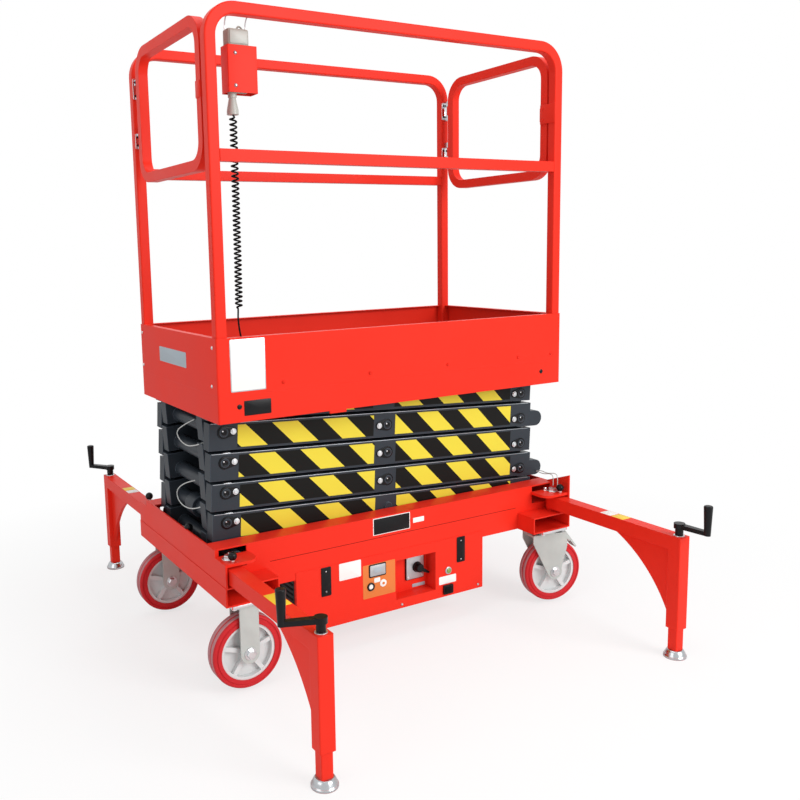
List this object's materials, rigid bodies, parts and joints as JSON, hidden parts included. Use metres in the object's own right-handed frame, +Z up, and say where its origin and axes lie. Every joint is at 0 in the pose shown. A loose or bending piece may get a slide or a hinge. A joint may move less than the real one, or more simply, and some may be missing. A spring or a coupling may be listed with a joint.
{
  "type": "scissor_lift",
  "caption": "Mobile scissor lift: a caged work platform on a folded five-stage scissor stack, over a chassis with casters and four outriggers.",
  "frame": {"origin": "On the floor, below the middle of the machine.", "axes": "+X along the length towards the swivel casters, +Z up, -Y towards the side with the control panel."},
  "size_m": [1.3165, 1.7454, 1.755],
  "materials": {
    "red_paint": "gloss powder coat",
    "stack_grey": "satin paint",
    "wheel_tread": "solid polyurethane",
    "wheel_hub_grey": "moulded",
    "caster_zinc": "bright zinc",
    "black_plastic": "moulded",
    "hard_chrome": "hard chrome",
    "zinc_plate": "bright zinc",
    "deck_steel": "raised tread pattern",
    "pendant_grey": "moulded"
  },
  "bodies": {
    "chassis": {"chassis_rail_front": "red_paint", "chassis_rail_rear": "red_paint", "end_beam_left": "red_paint", "end_beam_right": "red_paint", "base_pivot_beam": "red_paint", "chassis_cross_beam": "red_paint", "power_unit_housing": "red_paint", "rotary_switch": "black_plastic", "rigid_fork_front": "caster_zinc", "rigid_fork_rear": "caster_zinc"},
    "outer_arms_1": {"outer_arms_1": "stack_grey"},
    "inner_arms_1": {"inner_arms_1": "stack_grey"},
    "outer_arms_2": {"outer_arms_2": "stack_grey"},
    "inner_arms_2": {"inner_arms_2": "stack_grey"},
    "outer_arms_3": {"outer_arms_3": "stack_grey"},
    "inner_arms_3": {"inner_arms_3": "stack_grey"},
    "outer_arms_4": {"outer_arms_4": "stack_grey"},
    "inner_arms_4": {"inner_arms_4": "stack_grey"},
    "outer_arms_5": {"outer_arms_5": "stack_grey"},
    "inner_arms_5": {"inner_arms_5": "stack_grey"},
    "cylinder_barrel": {"cylinder_barrel": "stack_grey"},
    "cylinder_rod": {"cylinder_rod": "hard_chrome"},
    "platform": {"platform_frame": "red_paint", "roller_tracks": "red_paint", "deck_plate": "deck_steel", "toe_board": "red_paint", "guardrail_front": "red_paint", "guardrail_rear": "red_paint", "gate_hinges_left": "zinc_plate", "gate_hinges_right": "zinc_plate", "control_holder": "red_paint", "control_pendant": "pendant_grey", "pendant_connector": "black_plastic", "curly_cord": "black_plastic", "cord_lead": "black_plastic", "cord_gland": "black_plastic"},
    "gate_left": {"gate_left": "red_paint"},
    "gate_right": {"gate_right": "red_paint"},
    "wheel_left_front": {"wheel_hub_left_front": "wheel_hub_grey", "wheel_tyre_left_front": "wheel_tread"},
    "swivel_front": {"swivel_fork_front": "caster_zinc"},
    "wheel_right_front": {"wheel_hub_right_front": "wheel_hub_grey", "wheel_tyre_right_front": "wheel_tread"},
    "wheel_left_rear": {"wheel_hub_left_rear": "wheel_hub_grey", "wheel_tyre_left_rear": "wheel_tread"},
    "swivel_rear": {"swivel_fork_rear": "caster_zinc"},
    "wheel_right_rear": {"wheel_hub_right_rear": "wheel_hub_grey", "wheel_tyre_right_rear": "wheel_tread"},
    "outrigger_left_front": {"outrigger_left_front": "red_paint", "crank_left_front": "black_plastic"},
    "jack_leg_left_front": {"jack_leg_left_front": "red_paint"},
    "outrigger_left_rear": {"outrigger_left_rear": "red_paint", "crank_left_rear": "black_plastic"},
    "jack_leg_left_rear": {"jack_leg_left_rear": "red_paint"},
    "outrigger_right_front": {"outrigger_right_front": "red_paint", "crank_right_front": "black_plastic"},
    "jack_leg_right_front": {"jack_leg_right_front": "red_paint"},
    "outrigger_right_rear": {"outrigger_right_rear": "red_paint", "crank_right_rear": "black_plastic"},
    "jack_leg_right_rear": {"jack_leg_right_rear": "red_paint"}
  },
  "joints": [
    {"name": "lift", "type": "hinge", "parent": "chassis", "child": "outer_arms_1", "pos_m": [0.50796, 0, 0.3465], "axis": [0, 1, 0], "range_deg": [0, 37.65]},
    {"name": "centre_pivot_1", "type": "hinge", "parent": "outer_arms_1", "child": "inner_arms_1", "pos_m": [-0.0134, 0, 0.38795], "axis": [0, 1, 0], "range_deg": [-75.5, 0.1]},
    {"name": "end_pivot_1", "type": "hinge", "parent": "inner_arms_1", "child": "outer_arms_2", "pos_m": [0.50796, 0, 0.4294], "axis": [0, 1, 0], "range_deg": [-0.1, 75.5]},
    {"name": "centre_pivot_2", "type": "hinge", "parent": "outer_arms_2", "child": "inner_arms_2", "pos_m": [-0.0134, 0, 0.47085], "axis": [0, 1, 0], "range_deg": [-75.5, 0.1]},
    {"name": "end_pivot_2", "type": "hinge", "parent": "inner_arms_2", "child": "outer_arms_3", "pos_m": [0.50796, 0, 0.5123], "axis": [0, 1, 0], "range_deg": [-0.1, 75.5]},
    {"name": "centre_pivot_3", "type": "hinge", "parent": "outer_arms_3", "child": "inner_arms_3", "pos_m": [-0.0134, 0, 0.55375], "axis": [0, 1, 0], "range_deg": [-75.5, 0.1]},
    {"name": "end_pivot_3", "type": "hinge", "parent": "inner_arms_3", "child": "outer_arms_4", "pos_m": [0.50796, 0, 0.5952], "axis": [0, 1, 0], "range_deg": [-0.1, 75.5]},
    {"name": "centre_pivot_4", "type": "hinge", "parent": "outer_arms_4", "child": "inner_arms_4", "pos_m": [-0.0134, 0, 0.63665], "axis": [0, 1, 0], "range_deg": [-75.5, 0.1]},
    {"name": "end_pivot_4", "type": "hinge", "parent": "inner_arms_4", "child": "outer_arms_5", "pos_m": [0.50796, 0, 0.6781], "axis": [0, 1, 0], "range_deg": [-0.1, 75.5]},
    {"name": "centre_pivot_5", "type": "hinge", "parent": "outer_arms_5", "child": "inner_arms_5", "pos_m": [-0.0134, 0, 0.71955], "axis": [0, 1, 0], "range_deg": [-75.5, 0.1]},
    {"name": "platform_pivot", "type": "hinge", "parent": "inner_arms_5", "child": "platform", "pos_m": [0.50796, 0, 0.761], "axis": [0, 1, 0], "range_deg": [-0.1, 37.85]},
    {"name": "barrel_pivot", "type": "hinge", "parent": "inner_arms_2", "child": "cylinder_barrel", "pos_m": [-0.53475, 0, 0.4294], "axis": [0, 1, 0], "range_deg": [-14.64, 0.1]},
    {"name": "rod_slide", "type": "slide", "parent": "cylinder_barrel", "child": "cylinder_rod", "axis": [0.9876, 0, 0.157], "range_m": [-0.0005, 0.5499]},
    {"name": "gate_left_hinge", "type": "hinge", "parent": "platform", "child": "gate_left", "pos_m": [-0.5685, 0.2455, 1.56], "axis": [0, 0, 1], "range_deg": [-90, 0]},
    {"name": "gate_right_hinge", "type": "hinge", "parent": "platform", "child": "gate_right", "pos_m": [0.5685, 0.2455, 1.56], "axis": [0, 0, 1], "range_deg": [-90, 0]},
    {"name": "wheel_left_front_spin", "type": "hinge", "parent": "chassis", "child": "wheel_left_front", "pos_m": [-0.536, -0.3, 0.108], "axis": [0, 1, 0], "continuous": true},
    {"name": "swivel_front_turn", "type": "hinge", "parent": "chassis", "child": "swivel_front", "pos_m": [0.53, -0.3, 0.244], "axis": [0, 0, 1], "continuous": true},
    {"name": "wheel_right_front_spin", "type": "hinge", "parent": "swivel_front", "child": "wheel_right_front", "pos_m": [0.54956, -0.30416, 0.108], "axis": [0.2079, 0.9781, 0], "continuous": true},
    {"name": "wheel_left_rear_spin", "type": "hinge", "parent": "chassis", "child": "wheel_left_rear", "pos_m": [-0.536, 0.3, 0.108], "axis": [0, 1, 0], "continuous": true},
    {"name": "swivel_rear_turn", "type": "hinge", "parent": "chassis", "child": "swivel_rear", "pos_m": [0.53, 0.3, 0.244], "axis": [0, 0, 1], "continuous": true},
    {"name": "wheel_right_rear_spin", "type": "hinge", "parent": "swivel_rear", "child": "wheel_right_rear", "pos_m": [0.55, 0.3, 0.108], "axis": [0, 1, 0], "continuous": true},
    {"name": "outrigger_left_front_swing", "type": "hinge", "parent": "chassis", "child": "outrigger_left_front", "pos_m": [-0.5725, -0.299, 0.331], "axis": [0, 0, 1], "range_deg": [0, 90]},
    {"name": "jack_left_front_slide", "type": "slide", "parent": "outrigger_left_front", "child": "jack_leg_left_front", "axis": [0, 0, 1], "range_m": [-0.12, 0.055]},
    {"name": "outrigger_left_rear_swing", "type": "hinge", "parent": "chassis", "child": "outrigger_left_rear", "pos_m": [-0.5725, 0.299, 0.331], "axis": [0, 0, 1], "range_deg": [-90, 0]},
    {"name": "jack_left_rear_slide", "type": "slide", "parent": "outrigger_left_rear", "child": "jack_leg_left_rear", "axis": [0, 0, 1], "range_m": [-0.12, 0.055]},
    {"name": "outrigger_right_front_swing", "type": "hinge", "parent": "chassis", "child": "outrigger_right_front", "pos_m": [0.5625, -0.299, 0.331], "axis": [0, 0, 1], "range_deg": [-90, 0]},
    {"name": "jack_right_front_slide", "type": "slide", "parent": "outrigger_right_front", "child": "jack_leg_right_front", "axis": [0, 0, 1], "range_m": [-0.12, 0.055]},
    {"name": "outrigger_right_rear_swing", "type": "hinge", "parent": "chassis", "child": "outrigger_right_rear", "pos_m": [0.5625, 0.299, 0.331], "axis": [0, 0, 1], "range_deg": [0, 90]},
    {"name": "jack_right_rear_slide", "type": "slide", "parent": "outrigger_right_rear", "child": "jack_leg_right_rear", "axis": [0, 0, 1], "range_m": [-0.12, 0.055]}
  ],
  "couplings": [
    {"joint": "centre_pivot_1", "follows": "lift", "ratio": -2},
    {"joint": "end_pivot_1", "follows": "lift", "ratio": 2},
    {"joint": "centre_pivot_2", "follows": "lift", "ratio": -2},
    {"joint": "end_pivot_2", "follows": "lift", "ratio": 2},
    {"joint": "centre_pivot_3", "follows": "lift", "ratio": -2},
    {"joint": "end_pivot_3", "follows": "lift", "ratio": 2},
    {"joint": "centre_pivot_4", "follows": "lift", "ratio": -2},
    {"joint": "end_pivot_4", "follows": "lift", "ratio": 2},
    {"joint": "centre_pivot_5", "follows": "lift", "ratio": -2},
    {"joint": "platform_pivot", "follows": "lift", "ratio": 1},
    {"joint": "barrel_pivot", "follows": "lift", "ratio": -0.38344},
    {"joint": "rod_slide", "follows": "lift", "m_per_rad": 0.83524}
  ]
}
